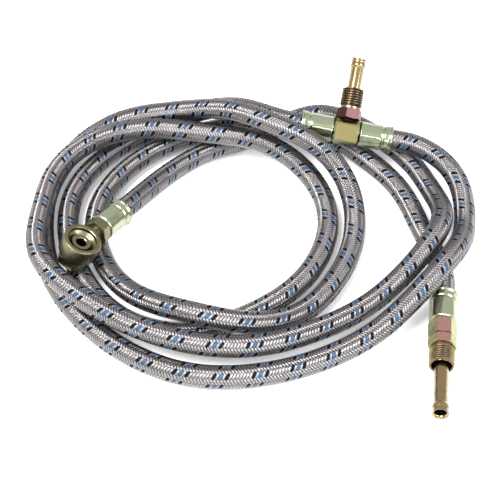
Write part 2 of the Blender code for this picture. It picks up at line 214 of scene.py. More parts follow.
# Electroplated zinc under a thin yellow film: a satin metal that drifts between straw, green
# and grey in soft clouds. Faces turned up towards the front take a lighter tone in the film's
# own pink or golden tint: a painted sheen from the light above.
# The film differs from piece to piece. Bores are painted near black as shade, and the washer is
# soft copper.
# each finish's colour for faces turned up towards the front is lighter: painted sheen in the
# finish's own tint
zincSpec = {
    "zincPale": {"cloud": ["#6E7560", "#949A80", "#86856A"], "facing": "#A6AD92",
                 "roughness": 0.20},
    "zincPink": {"cloud": ["#6C6E44", "#8C8E5E", "#827858"], "facing": "#B48480",
                 "roughness": 0.26},
    "zincMauve": {"cloud": ["#33242A", "#4C3436", "#42302F"], "facing": "#5A3E40",
                  "roughness": 0.30},
    "zincGold": {"cloud": ["#6C624A", "#918466", "#7E7258"], "facing": "#8E7856",
                 "roughness": 0.20},
    "zincThread": {"cloud": ["#60573C", "#7E7152", "#72634C"], "facing": "#7E6A58",
                   "roughness": 0.28},
    # thread roots darker than the flanks: painted shade in the grooves
    "zincGrooveShade": {"cloud": ["#37301F", "#4E4430", "#443A2A"], "facing": "#4C4036",
                   "roughness": 0.40},
    "zincBlock": {"cloud": ["#7C7A4E", "#9C9866", "#928664"], "facing": "#9A9064",
                  "roughness": 0.22},
    "zincEye": {"cloud": ["#565440", "#767258", "#6A6450"], "facing": "#76705A",
                "roughness": 0.30},
    "boreShade": {"cloud": ["#0E0B08", "#1A1510", "#120E0A"], "facing": "#17130F",
                  "roughness": 0.6},
    "softCopper": {"cloud": ["#8F6A4C", "#A97B58", "#94705A"], "facing": "#B08261",
                   "roughness": 0.38},
}
filmSpec = {
    "cloudSize": 9 * mm,
    "cloudStops": (0.34, 0.5, 0.66),
    "grainSize": 0.6 * mm,  # the plating's real grain is far finer, and this is as fine as shows
    "grainDepth": 0.006 * mm,
    "grainBump": 0.05,
    "grainReach": (0.3, 0.7),
    "roughnessSpread": 0.04,
    # faces turned this way, up and towards the front, take the painted sheen
    "tintAndSheenDirection": (0.0, -0.31, 0.95),
    "tintAndSheenReach": (0.6, 0.9),
    "tintAndSheenShare": 0.85,
}


def zincMaterial(name, spec, film):
    material, tree, shader = newMaterial(name)
    place = addNode(tree, "ShaderNodeTexCoord").outputs["Object"]
    cloud = addNode(tree, "ShaderNodeTexNoise", {
        "Vector": place, "Scale": 1 / film["cloudSize"], "Detail": 3.0, "Roughness": 0.6})
    grain = addNode(tree, "ShaderNodeTexNoise", {
        "Vector": place, "Scale": 1 / film["grainSize"], "Detail": 2.0})
    tone = addNode(tree, "ShaderNodeValToRGB", {"Fac": cloud.outputs["Fac"]},
                   list(zip(film["cloudStops"], spec["cloud"])))
    normal = addNode(tree, "ShaderNodeNewGeometry").outputs["Normal"]
    # faces turned up towards the front mix in the lighter tint: painted sheen from the light above
    facing = addNode(tree, "ShaderNodeVectorMath", {0: normal, 1: film["tintAndSheenDirection"]},
                     operation="DOT_PRODUCT")
    share = addNode(tree, "ShaderNodeMapRange", {
        "Value": facing.outputs["Value"], "From Min": film["tintAndSheenReach"][0],
        "From Max": film["tintAndSheenReach"][1], "To Min": 0.0, "To Max": film["tintAndSheenShare"]})
    colour = addNode(tree, "ShaderNodeMix", {
        0: share.outputs["Result"], 6: tone.outputs["Color"], 7: hexColour(spec["facing"])},
        data_type="RGBA")
    rough = addNode(tree, "ShaderNodeMapRange", {
        "Value": grain.outputs["Fac"], "From Min": film["grainReach"][0],
        "From Max": film["grainReach"][1], "To Min": spec["roughness"],
        "To Max": spec["roughness"] + film["roughnessSpread"]})
    bump = addNode(tree, "ShaderNodeBump", {
        "Height": grain.outputs["Fac"], "Strength": film["grainBump"],
        "Distance": film["grainDepth"]})
    tree.links.new(colour.outputs[2], shader.inputs["Base Color"])
    tree.links.new(rough.outputs["Result"], shader.inputs["Roughness"])
    tree.links.new(bump.outputs["Normal"], shader.inputs["Normal"])
    shader.inputs["Metallic"].default_value = 1.0
    return material


# Braid of drawn steel wire, laid side by side in flat carriers: each wire's crest is painted
# bright as a highlight and its valley painted dark as shade. A few carriers are tracers, of painted
# wire (blue and black) or of blue-grey tinned wire (pale). Width is a carrier's, in millimetres.
wireSpec = {
    # each finish's tones run from the painted valley shade to the painted crest highlight
    "braidWire": {"tones": ["#605C5D", "#AEA9AB"], "metallic": 1.0, "roughness": 0.28,
                  "specular": 0.5, "width": 1.30},
    "tracerBlue": {"tones": ["#1C2E42", "#3F6284"], "metallic": 0.0, "roughness": 0.40,
                   "specular": 0.25, "width": 1.75},
    "tracerPale": {"tones": ["#5A6170", "#A2A8B8"], "metallic": 0.8, "roughness": 0.32,
                   "specular": 0.5, "width": 1.2},
    "tracerBlack": {"tones": ["#070506", "#100C0E"], "metallic": 0.0, "roughness": 0.5,
                    "specular": 0.08, "width": 1.48},
}
weaveSpec = {
    "wiresAcross": 5,  # of about 0.26 mm each
    "relief": 0.08 * mm,
    "bump": 0.8,
    "highlightAt": 0.45,
    "speckSize": 1.1 * mm,
    "shadeDeep": 0.27,
    "shadeLiftReach": (0.1, 0.8),
}


def wireMaterial(name, spec, weave):
    # the braid's own UV map counts wires across a carrier in U and millimetres along it in V
    material, tree, shader = newMaterial(name)
    place = addNode(tree, "ShaderNodeUVMap", uv_map="wires").outputs["UV"]
    across = addNode(tree, "ShaderNodeSeparateXYZ", {0: place})
    turn = addNode(tree, "ShaderNodeMath", {0: across.outputs["X"], 1: 2 * math.pi},
                   operation="MULTIPLY")
    wave = addNode(tree, "ShaderNodeMath", {0: turn.outputs[0]}, operation="COSINE")
    # 0 in each wire's valley and 1 on its crest: drives the painted shade and highlight as well as
    # the bump
    crest = addNode(tree, "ShaderNodeMapRange", {
        "Value": wave.outputs[0], "From Min": 1.0, "From Max": -1.0, "To Min": 0.0,
        "To Max": 1.0}).outputs["Result"]
    coat = addNode(tree, "ShaderNodeTexCoord").outputs["Object"]
    speck = addNode(tree, "ShaderNodeTexNoise", {
        "Vector": coat, "Scale": 1 / weave["speckSize"], "Detail": 1.0})
    # painted crest highlight and valley shade, broken by random specks
    shade = addNode(tree, "ShaderNodeMath", {0: crest, 1: speck.outputs["Fac"]},
                    operation="MULTIPLY")
    tone = addNode(tree, "ShaderNodeValToRGB", {"Fac": shade.outputs[0]},
                   list(zip((0.0, weave["highlightAt"]), spec["tones"])))
    # painted shade darkens a carrier where it dives under the others, and at its edges
    shadeLift = addNode(tree, "ShaderNodeAttribute", attribute_name="shadeLift").outputs["Fac"]
    clear = addNode(tree, "ShaderNodeMapRange", {
        "Value": shadeLift, "From Min": weave["shadeLiftReach"][0], "From Max": weave["shadeLiftReach"][1],
        "To Min": weave["shadeDeep"], "To Max": 1.0})
    toned = addNode(tree, "ShaderNodeVectorMath", {
        0: tone.outputs["Color"], "Scale": clear.outputs["Result"]}, operation="SCALE")
    bump = addNode(tree, "ShaderNodeBump", {
        "Height": crest, "Strength": weave["bump"], "Distance": weave["relief"]})
    tree.links.new(toned.outputs[0], shader.inputs["Base Color"])
    tree.links.new(bump.outputs["Normal"], shader.inputs["Normal"])
    shader.inputs["Metallic"].default_value = spec["metallic"]
    shader.inputs["Roughness"].default_value = spec["roughness"]
    shader.inputs["Specular IOR Level"].default_value = spec["specular"]
    return material


# Inner tube of matt black rubber, seen only in the gaps of the braid
rubberSpec = {"tones": [(0.3, "#1B191B"), (0.7, "#2C292B")], "grainSize": 0.8 * mm,
              "roughness": 0.6}


def rubberMaterial(spec):
    material, tree, shader = newMaterial("innerRubber")
    place = addNode(tree, "ShaderNodeTexCoord").outputs["Object"]
    grain = addNode(tree, "ShaderNodeTexNoise", {"Vector": place, "Scale": 1 / spec["grainSize"]})
    tone = addNode(tree, "ShaderNodeValToRGB", {"Fac": grain.outputs["Fac"]}, spec["tones"])
    tree.links.new(tone.outputs["Color"], shader.inputs["Base Color"])
    shader.inputs["Roughness"].default_value = spec["roughness"]
    return material


bpy.context.scene.view_settings.view_transform = "Standard"
placeCamera(cameraSpec)
placeLamps(lampSpec)
makeWorld(tentSpec)
makeFloor(floorSpec)
zinc = {name: zincMaterial(name, spec, filmSpec) for name, spec in zincSpec.items()}
wire = {name: wireMaterial(name, spec, weaveSpec) for name, spec in wireSpec.items()}
rubber = rubberMaterial(rubberSpec)
print("stage and materials made")


# Where the fittings lie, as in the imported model
branchRise = math.radians(40)
hexTurn = math.radians(15)
teeRun = Vector((0.9835, -0.1388, -0.1164)).normalized()
teeCentre = coilMiddle + Vector((59.4, 76.5, 25.5)) * mm
sideways = upward.cross(teeRun).normalized()
branchAxis = sideways * math.cos(branchRise) + teeRun.cross(sideways) * math.sin(branchRise)
eyeCentre = coilMiddle + Vector((-95.8, -23.7, 29.5)) * mm
eyeAxis = Vector((0.400, 0.0, 0.917)).normalized()
eyeToHose = Vector((0.487, 0.847, -0.2124))
neckAxis = (eyeToHose - eyeAxis * eyeToHose.dot(eyeAxis)).normalized()
endMouth = coilMiddle + Vector((109.2, -43.3, 8.4)) * mm
endAlong = Vector((-0.119, -0.993, 0.0))

# Sizes that several fittings share, in millimetres
seam = 0.3
ferruleLength = 20.5
blockSize = 14.5
eyeDistance = 41.0
teeReach = (blockSize / 2 + ferruleLength + 2 * seam) * mm


def axes(origin, along, upper):
    # matrix whose Z runs along a fitting and whose Y is as near as can be to upper
    z = along.normalized()
    y = (upper - z * upper.dot(z)).normalized()
    return Matrix.LocRotScale(origin, Matrix((y.cross(z), y, z)).transposed(), None)


banjoAxes = axes(eyeCentre + neckAxis * eyeDistance * mm, -neckAxis, eyeAxis)
eyeAxes = axes(eyeCentre, eyeAxis, neckAxis)
teeAxes = axes(teeCentre, branchAxis, branchAxis.cross(teeRun))
teeLeftAxes = axes(teeCentre - teeRun * teeReach, teeRun, upward)
teeRightAxes = axes(teeCentre + teeRun * teeReach, -teeRun, upward)
studAxes = axes(teeCentre, branchAxis, Matrix.Rotation(hexTurn, 3, branchAxis) @ sideways)
endAxes = axes(endMouth, endAlong, upward)

# Hoses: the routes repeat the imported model's points, in millimetres from the coil's middle
hoseSpec = {
    "diameter": 13 * mm,
    "straight": 10 * mm,
    "inside": 16.3 * mm,
    "routeStep": 4 * mm,
    "curveSamples": 2400,
    "carriers": 12,
    "lead": 20.6 * mm,
    "carrierRadius": 6.05 * mm,
    "carrierWave": 0.22 * mm,
    "carrierCrown": 0.21 * mm,
    # share of light kept at a carrier's edges by the painted shade between carriers
    "edgeShadeLift": 0.2,
    "coreRadius": 5.6 * mm,
    "coreSides": 32,
    "boreRadius": 4.2 * mm,
    "boreDepth": 16 * mm,
    "tracers": {0: "tracerBlack", 1: "tracerPale", 2: "tracerBlue", 3: "tracerPale",
                4: "tracerBlack"},
}
banjoRoute = [
    (-52, 54, 9), (-25, 79, 7), (7, 90, 11), (43, 95, 23), (74, 92, 12.5), (97.5, 73, 6.6),
    (111.5, 37, 9.6), (110.5, 0, 22), (95, -26, 20.5), (67, -52, 12), (37, -71, 12), (5, -84, 15),
    (-31, -84, 17), (-66, -72, 19), (-97, -51.5, 21), (-119.5, -24, 22), (-122, 15, 21),
    (-116, 48, 21), (-96, 71, 23), (-65, 81, 24), (-27, 79, 22), (9, 74, 18), (35, 56, 10),
    (46, 29, 7), (42, -7, 7), (26, -35, 7), (-5, -58.5, 7), (-38, -69, 6.8), (-69, -60, 7),
    (-94, -32, 7), (-107, 4, 7), (-107, 40, 7), (-93, 70, 6.8), (-63, 97, 7.5), (-35, 105, 16),
    (-3, 95, 28)]
studRoute = [
    (124.5, 47, 15.8), (127, 11, 11), (116, -22, 22), (95, -49, 20), (69, -72, 11.5), (38, -88, 7),
    (2, -98.5, 7), (-34, -97.5, 7), (-68, -82, 7), (-95, -57, 7), (-114.5, -25, 7), (-123, 11, 7),
    (-122, 48, 7), (-108.5, 76, 11), (-82, 93, 19), (-46, 95, 26), (-10, 84, 36), (12, 71, 38),
    (44, 58, 27), (60, 35, 15), (62, 9, 8), (50, -28, 7), (27, -57, 8.5), (-5, -70, 17.5),
    (-33, -67, 22.5), (-62, -50, 16), (-85, -16, 8), (-92, 20, 7), (-82, 53, 7), (-58, 80, 7),
    (-25, 98, 7), (11, 107.5, 6.8), (42, 99.5, 6.8), (72.5, 72, 6.8), (91, 45, 7), (102, 10, 6.8)]


def smoothCurve(points, spec):
    # natural cubic curve through the points, read again at even steps along its length
    knots = np.array([list(point) for point in points])
    t = np.concatenate([[0.0], np.cumsum(np.linalg.norm(np.diff(knots, axis=0), axis=1))])
    h = np.diff(t)
    count = len(knots)
    bend = np.eye(count)
    right = np.zeros((count, 3))
    for i in range(1, count - 1):
        bend[i, i - 1:i + 2] = h[i - 1], 2 * (h[i - 1] + h[i]), h[i]
        right[i] = 6 * ((knots[i + 1] - knots[i]) / h[i] - (knots[i] - knots[i - 1]) / h[i - 1])
    m = np.linalg.solve(bend, right)
    fine = []
    for u in np.linspace(0, t[-1], spec["curveSamples"]):
        i = min(max(int(np.searchsorted(t, u)) - 1, 0), count - 2)
        x = t[i + 1] - u
        y = u - t[i]
        fine.append((m[i] * x ** 3 + m[i + 1] * y ** 3) / (6 * h[i])
                    + (knots[i] / h[i] - m[i] * h[i] / 6) * x
                    + (knots[i + 1] / h[i] - m[i + 1] * h[i] / 6) * y)
    fine = np.array(fine)
    along = np.concatenate([[0.0], np.cumsum(np.linalg.norm(np.diff(fine, axis=0), axis=1))])
    even = np.linspace(0, along[-1], round(along[-1] / spec["routeStep"]) + 1)
    return [Vector([np.interp(s, along, fine[:, axis]) for axis in range(3)]) for s in even]


def hosePath(start, route, end, spec):
    # straight inside each ferrule and just out of it, then along the chosen points
    alongs = [place.to_3x3() @ upward for place in (start, end)]
    mouths = [place.translation for place in (start, end)]
    middle = [coilMiddle + Vector(point) * mm for point in route]
    knots = [mouths[0], mouths[0] - alongs[0] * spec["straight"], *middle,
             mouths[1] - alongs[1] * spec["straight"], mouths[1]]
    points = [Vector((point.x, point.y, max(point.z, spec["diameter"] / 2)))
              for point in smoothCurve(knots, spec)]
    inner = [mouth + along * spec["inside"] for mouth, along in zip(mouths, alongs)]
    lead = [inner[0].lerp(points[0], share) for share in (0, 0.25, 0.5, 0.75)]
    tail = [points[-1].lerp(inner[1], share) for share in (0.25, 0.5, 0.75, 1)]
    return lead + points + tail


def pathLength(points):
    return sum((b - a).length for a, b in zip(points, points[1:]))


def unrolledBraid(length, spec):
    # the braid laid flat: each vertex is (distance along the hose, angle round it, radius)
    carriers = spec["carriers"]
    step = spec["lead"] / (2 * carriers)
    count = int(length / step)
    n = np.arange(count + 1)
    slope = math.atan2(2 * math.pi * spec["carrierRadius"], spec["lead"])
    verts = []
    faces = []
    uvs = []
    slots = []
    shadeLifts = []
    names = ["innerRubber", *wireSpec]
    base = 0
    for hand in (-1, 1):
        for carrier in range(carriers):
            # over two and under two; a carrier of the other hand is under where this one is over
            met = carrier if hand < 0 else carrier + n
            over = -hand * np.where((n + 2 * met) % 4 < 2, 1.0, -1.0)
            name = spec["tracers"].get(carrier, "braidWire") if hand < 0 else "braidWire"
            width = wireSpec[name]["width"] * mm
            centre = n * step
            angle = 2 * math.pi * (carrier / carriers + hand * centre / spec["lead"])
            for side in (-1, 0, 1):
                offset = side * width / 2
                along = centre - hand * offset * math.sin(slope)
                around = angle + offset * math.cos(slope) / spec["carrierRadius"]
                crown = spec["carrierCrown"] * (1 - abs(side))
                radius = spec["carrierRadius"] + over * spec["carrierWave"] + crown
                verts.append(np.stack([np.clip(along, 0, length), around, radius], 1))
                # painted shade: full light on an over carrier's middle, less at its edges, none
                # where it is under
                shadeLifts.append((over + 1) / 2 * (spec["edgeShadeLift"] if side else 1.0))
            rows = np.arange(count)
            run = count + 1
            for strip in (0, 1):
                low = base + strip * run + rows
                high = low + run
                quad = np.stack([low, low + 1, high + 1, high], 1)
                faces.append(quad if hand < 0 else quad[:, ::-1])
                reach = n * step / mm / math.cos(slope)
                left = strip * weaveSpec["wiresAcross"] / 2
                right = left + weaveSpec["wiresAcross"] / 2
                square = np.stack([
                    np.stack([np.full(count, left), reach[:-1]], 1),
                    np.stack([np.full(count, left), reach[1:]], 1),
                    np.stack([np.full(count, right), reach[1:]], 1),
                    np.stack([np.full(count, right), reach[:-1]], 1)], 1)
                uvs.append(square if hand < 0 else square[:, ::-1])
            slots += [names.index(name)] * (2 * count)
            base += 3 * run
    # the inner tube is bored at both ends for the barbed tails
    sides = spec["coreSides"]
    bore = spec["boreDepth"]
    hole = spec["boreRadius"]
    outside = np.linspace(0, length, int(length / spec["routeStep"]) + 1)
    reaches = np.concatenate([[bore, 0], outside, [length, length - bore]])
    radii = np.concatenate([[hole, hole], np.full(len(outside), spec["coreRadius"]), [hole, hole]])
    rings = len(reaches)
    ring, side = np.meshgrid(reaches, np.arange(sides), indexing="ij")
    verts.append(np.stack([ring.ravel(), side.ravel() * 2 * math.pi / sides,
                           np.repeat(radii, sides)], 1))
    row, column = np.meshgrid(np.arange(rings - 1), np.arange(sides), indexing="ij")
    following = (column + 1) % sides
    core = np.stack([row * sides + column, row * sides + following,
                     (row + 1) * sides + following, (row + 1) * sides + column], -1)
    faces.append(core.reshape(-1, 4) + base)
    ends = [list(range(base, base + sides))[::-1],
            list(range(base + (rings - 1) * sides, base + rings * sides))]
    uvs.append(np.zeros((len(core.reshape(-1, 4)), 4, 2)))
    slots += [0] * (len(core.reshape(-1, 4)) + len(ends))
    shadeLifts.append(np.zeros(rings * sides))
    corners = np.concatenate([np.vstack(uvs).ravel(), np.zeros(2 * sides * len(ends))])
    return (np.vstack(verts), np.vstack(faces).tolist() + ends, corners, slots,
            np.concatenate(shadeLifts))


def wrapTree():
    # Geometry Nodes group that bends an unrolled mesh round a route
    tree = bpy.data.node_groups.new("wrapRound", "GeometryNodeTree")
    tree.interface.new_socket("Geometry", in_out="INPUT", socket_type="NodeSocketGeometry")
    tree.interface.new_socket("Route", in_out="INPUT", socket_type="NodeSocketObject")
    tree.interface.new_socket("Geometry", in_out="OUTPUT", socket_type="NodeSocketGeometry")
    given = addNode(tree, "NodeGroupInput")
    flat = addNode(tree, "GeometryNodeInputPosition").outputs[0]
    parts = addNode(tree, "ShaderNodeSeparateXYZ", {0: flat})
    route = addNode(tree, "GeometryNodeObjectInfo", {"Object": given.outputs["Route"]})
    steady = addNode(tree, "GeometryNodeSetCurveNormal", {"Curve": route.outputs["Geometry"]},
                     mode="Z_UP")
    sample = addNode(tree, "GeometryNodeSampleCurve", {
        "Curves": steady.outputs[0], "Length": parts.outputs["X"]},
        mode="LENGTH", use_all_curves=True)
    cross = addNode(tree, "ShaderNodeVectorMath", {
        0: sample.outputs["Tangent"], 1: sample.outputs["Normal"]}, operation="CROSS_PRODUCT")
    cosine = addNode(tree, "ShaderNodeMath", {0: parts.outputs["Y"]}, operation="COSINE")
    sine = addNode(tree, "ShaderNodeMath", {0: parts.outputs["Y"]}, operation="SINE")
    up = addNode(tree, "ShaderNodeVectorMath", {
        0: sample.outputs["Normal"], "Scale": cosine.outputs[0]}, operation="SCALE")
    out = addNode(tree, "ShaderNodeVectorMath", {
        0: cross.outputs[0], "Scale": sine.outputs[0]}, operation="SCALE")
    spoke = addNode(tree, "ShaderNodeVectorMath", {0: up.outputs[0], 1: out.outputs[0]},
                    operation="ADD")
    arm = addNode(tree, "ShaderNodeVectorMath", {
        0: spoke.outputs[0], "Scale": parts.outputs["Z"]}, operation="SCALE")
    place = addNode(tree, "ShaderNodeVectorMath", {
        0: sample.outputs["Position"], 1: arm.outputs[0]}, operation="ADD")
    moved = addNode(tree, "GeometryNodeSetPosition", {
        "Geometry": given.outputs["Geometry"], "Position": place.outputs[0]})
    whole = addNode(tree, "GeometryNodeRealizeInstances", {"Geometry": moved.outputs[0]})
    # the inner tube, which has the first material index, is rubber; the wires keep their own
    index = addNode(tree, "GeometryNodeInputMaterialIndex").outputs[0]
    inner = addNode(tree, "FunctionNodeCompare", {2: index, 3: 0}, data_type="INT",
                    operation="EQUAL")
    dressed = addNode(tree, "GeometryNodeSetMaterial", {
        "Geometry": whole.outputs[0], "Selection": inner.outputs[0], "Material": rubber})
    addNode(tree, "NodeGroupOutput", {"Geometry": dressed.outputs[0]})
    return tree


def routeCurve(name, points):
    curve = bpy.data.curves.new(name, "CURVE")
    curve.dimensions = "3D"
    spline = curve.splines.new("POLY")
    spline.points.add(len(points) - 1)
    for target, point in zip(spline.points, points):
        target.co = (*point, 1)
    return addObject(name, curve)


def bakeMesh(item, name):
    # the piece as its modifiers leave it, at the origin, unturned and unscaled
    depsgraph = bpy.context.evaluated_depsgraph_get()
    mesh = bpy.data.meshes.new_from_object(item.evaluated_get(depsgraph))
    mesh.transform(item.matrix_world)
    mesh.name = name
    return addObject(name, mesh)


def makeHose(name, node, start, route, end, spec, tree):
    points = hosePath(start, route, end, spec)
    length = pathLength(points)
    verts, faces, uvs, slots, shadeLifts = unrolledBraid(length, spec)
    mesh = bpy.data.meshes.new(name + "Flat")
    mesh.from_pydata(verts.tolist(), [], faces)
    mesh.uv_layers.new(name="wires").data.foreach_set("uv", uvs)
    # carries the painted shade between carriers to the wire materials
    mesh.attributes.new("shadeLift", "FLOAT", "POINT").data.foreach_set("value", shadeLifts)
    for material in (rubber, *wire.values()):
        mesh.materials.append(material)
    mesh.polygons.foreach_set("material_index", slots)
    mesh.shade_smooth()
    flat = addObject(name + "Flat", mesh)
    guide = routeCurve(name + "Route", points)
    wrap = flat.modifiers.new("Wrap", "NODES")
    wrap.node_group = tree
    inputs = {item.name: item.identifier for item in tree.interface.items_tree
              if item.in_out == "INPUT"}
    wrap[inputs["Route"]] = guide
    hose = bakeMesh(flat, name)
    bpy.data.objects.remove(flat, do_unlink=True)
    bpy.data.objects.remove(guide, do_unlink=True)
    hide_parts(node)
    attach(hose, "root")
    print(name, "length", round(length, 4), "faces", len(hose.data.polygons))


wrapGroup = wrapTree()
makeHose("hoseFromBanjo", "hose_banjo_to_tee", banjoAxes, banjoRoute, teeLeftAxes, hoseSpec,
         wrapGroup)
makeHose("hoseToStud", "hose_tee_to_stud", teeRightAxes, studRoute, endAxes, hoseSpec, wrapGroup)
print("hoses made")

# Fittings: shaped in millimetres along their own Z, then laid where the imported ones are.
# An outline runs round a section as (radius, height).
turnSteps = 80
barbSteps = 40
eyeSteps = 112
arcRoom = 2.2  # a side's length over this is the most that the arc at its end takes of it
doubledWithin = 0.002
flatWithin = 0.001
tools = []


def meshObject(name, shape):
    bmesh.ops.recalc_face_normals(shape, faces=shape.faces)
    mesh = bpy.data.meshes.new(name)
    shape.to_mesh(mesh)
    shape.free()
    item = addObject(name, mesh)
    tools.append(item)
    return item


def softened(outline, radius, arcSteps=3):
    # each corner off the axis becomes a short arc
    points = [Vector(point) for point in outline]
    soft = []
    for before, corner, after in zip(points[-1:] + points[:-1], points, points[1:] + points[:1]):
        if corner.x == 0:
            soft.append(corner)
            continue
        reach = min(radius, (before - corner).length / arcRoom,
                    (after - corner).length / arcRoom)
        start = corner + (before - corner).normalized() * reach
        finish = corner + (after - corner).normalized() * reach
        for share in np.linspace(0, 1, arcSteps + 1):
            soft.append(start.lerp(corner, share).lerp(corner.lerp(finish, share), share))
    return soft


def turned(name, outline, steps=turnSteps, change=None):
    shape = bmesh.new()
    rings = []
    for radius, height in outline:
        if radius == 0:
            rings.append([shape.verts.new((0, 0, height))] * steps)
            continue
        ring = []
        for angle in np.arange(steps) * 2 * math.pi / steps:
            reach = change(radius, height, angle) if change else radius
            ring.append(shape.verts.new(
                (reach * math.cos(angle), reach * math.sin(angle), height)))
        rings.append(ring)
    for low, high in zip(rings, rings[1:] + rings[:1]):
        for i in range(steps):
            j = (i + 1) % steps
            corners = list(dict.fromkeys((low[i], low[j], high[j], high[i])))
            if len(corners) > 2:
                shape.faces.new(corners)
    return meshObject(name, shape)


def combine(target, tool, operation):
    step = target.modifiers.new(operation.title(), "BOOLEAN")
    step.operation = operation
    step.object = tool
    step.solver = "EXACT"
    return target


def finishPiece(item, name, node, place, zones, crease=32):
    # zones: material, lowest and highest height, inner and outer radius; the last fit wins
    item.name = name + "Raw"
    piece = bakeMesh(item, name)
    mesh = piece.data
    # points that the cuts left on top of each other become one
    shape = bmesh.new()
    shape.from_mesh(mesh)
    bmesh.ops.remove_doubles(shape, verts=shape.verts, dist=doubledWithin)
    bmesh.ops.dissolve_degenerate(shape, dist=flatWithin, edges=shape.edges)
    shape.to_mesh(mesh)
    shape.free()
    mesh.materials.clear()
    looks = list(dict.fromkeys(zone[0] for zone in zones))
    for look in looks:
        mesh.materials.append(zinc[look])
    for face in mesh.polygons:
        centre = face.center
        radius = math.hypot(centre.x, centre.y)
        fits = [look for look, low, high, inner, outer in zones
                if low <= centre.z <= high and inner <= radius <= outer]
        face.material_index = looks.index(fits[-1] if fits else looks[0])
    mesh.transform(place @ Matrix.Scale(mm, 4))
    mesh.shade_smooth()
    mesh.set_sharp_from_angle(angle=math.radians(crease))
    for tool in tools:
        bpy.data.objects.remove(tool, do_unlink=True)
    tools.clear()
    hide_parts(node)
    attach(piece, "root")


# Hexagons with drawn edges, turned down at both ends
hexSpec = {"flats": 14.0, "chamfer": 0.6, "edge": 0.22, "slope": math.radians(30)}


def hexagon(name, flats, low, high, spec):
    shape = bmesh.new()
    corner = flats / 2 / math.cos(math.pi / 6)
    turn = Matrix.Rotation(math.pi / 6, 4, "Z") @ Matrix.Translation((0, 0, (low + high) / 2))
    bmesh.ops.create_cone(shape, cap_ends=True, segments=6, radius1=corner, radius2=corner,
                          depth=high - low, matrix=turn)
    upright = [edge for edge in shape.edges
               if abs(edge.verts[0].co.z - edge.verts[1].co.z) > (high - low) / 2]
    bmesh.ops.bevel(shape, geom=upright, offset=spec["edge"], segments=3, affect="EDGES")
    bar = meshObject(name, shape)
    outer = corner + spec["chamfer"]
    face = flats / 2 - spec["chamfer"] / 2
    drop = (outer - face) * math.tan(spec["slope"])
    envelope = [(0, high), (face, high), (outer, high - drop), (outer, low + drop), (face, low),
                (0, low)]
    return combine(bar, turned(name + "Corners", envelope), "INTERSECT")


# Crimped ferrule, from the mouth that the hose comes out of
ferruleSpec = {
    "mouthRadius": 8.4, "mouthBevel": 0.3, "mouthHole": 7.3, "mouthTaper": 0.8, "rimLength": 1.8,
    "bandLength": 4.7, "waistLength": 1.0, "waistDepth": 0.6, "crimpRadius": 7.7, "crimpRows": 14,
    "inside": 6.8, "lipStart": 18.3, "lipHole": 5.3, "rounding": 0.55, "shadeMargin": 0.2,
    "dies": 8, "dieDepth": 0.22, "dieMargin": 1.6,
}


def ferruleDie(radius, height, angle, spec):
    # the eight dies flatten the crimped length between its waist and its shoulder
    low = spec["bandLength"] + 2 * spec["waistLength"]
    high = ferruleLength - spec["waistDepth"]
    depth = min(1, max(0, min(height - low, high - height) / spec["dieMargin"]))
    if radius < spec["inside"] + seam or depth == 0:
        return radius
    half = math.pi / spec["dies"]
    off = (angle % (2 * half)) - half
    flat = (spec["crimpRadius"] - spec["dieDepth"]) / math.cos(off)
    return radius + (min(radius, flat) - radius) * depth


def makeFerrule(name, node, place, spec):
    crimp = spec["crimpRadius"]
    depth = spec["waistDepth"]
    band = spec["bandLength"]
    step = spec["waistLength"]
    rim = spec["rimLength"]
    mouth = spec["mouthRadius"]
    bevel = spec["mouthBevel"]
    crimped = np.linspace(ferruleLength - 2 * depth, band + 2 * step, spec["crimpRows"])
    outline = [
        (crimp - 2 * depth, ferruleLength), (crimp, ferruleLength - 1.5 * depth),
        *[(crimp, height) for height in crimped],
        (crimp - depth, band + 1.4 * step), (crimp - depth, band + 0.6 * step), (crimp, band),
        (crimp, rim), (mouth, rim / 2), (mouth, bevel), (mouth - bevel, 0),
        (spec["mouthHole"], 0), (spec["mouthHole"], rim),
        (spec["inside"], rim + spec["mouthTaper"]), (spec["inside"], spec["lipStart"]),
        (spec["lipHole"], spec["lipStart"]), (spec["lipHole"], ferruleLength)]
    body = turned(name + "Body", softened(outline, spec["rounding"]),
                  change=lambda radius, height, angle: ferruleDie(radius, height, angle, spec))
    zones = [("zincPale", -1, 40, 0, 20),
             ("boreShade", -1, spec["lipStart"], 0, spec["inside"] + spec["shadeMargin"])]
    finishPiece(body, name, node, place, zones)


for side, node, place in (("Banjo", "ferrule_banjo", banjoAxes),
                          ("TeeLeft", "ferrule_tee_left", teeLeftAxes),
                          ("TeeRight", "ferrule_tee_right", teeRightAxes),
                          ("Stud", "ferrule_stud", endAxes)):
    makeFerrule("ferrule" + side, node, place, ferruleSpec)
print("ferrules made")

# Threaded studs M14 x 1.5, each with a hexagon and a shank that seats in the piece behind it
studSpec = {
    "hexLength": 6.4, "threadRadius": 7.0, "threadLength": 12.8, "pitch": 1.5, "threadDepth": 0.92,
    "crestShare": 0.16, "rootShare": 0.14, "rowsInPitch": 12, "threadChamfer": 0.9,
    "undercutDepth": 0.9, "undercutLength": 1.4, "rimHole": 5.6, "rimDepth": 4.0,
    "rimBevel": 0.9, "rimBevelDepth": 0.6, "shankRadius": 4.9, "tubeSocket": 4.3, "tubeSeat": 2.2,
    "boreRadius": 2.5, "grooveShadeShare": 0.62,
}


def threadCut(radius, height, angle, low, spec):
    # right-hand V thread that runs out where it reaches the undercut
    if radius < spec["rimHole"] + seam or height < low:
        return radius
    place = ((height - low) / spec["pitch"] - angle / (2 * math.pi)) % 1
    ridge = abs(place - 0.5) * 2
    flank = (ridge - spec["crestShare"]) / (1 - spec["crestShare"] - spec["rootShare"])
    runout = min(1, (height - low) / (spec["pitch"] / 2))
    return min(radius, spec["threadRadius"] - spec["threadDepth"] * min(1, max(0, flank)) * runout)


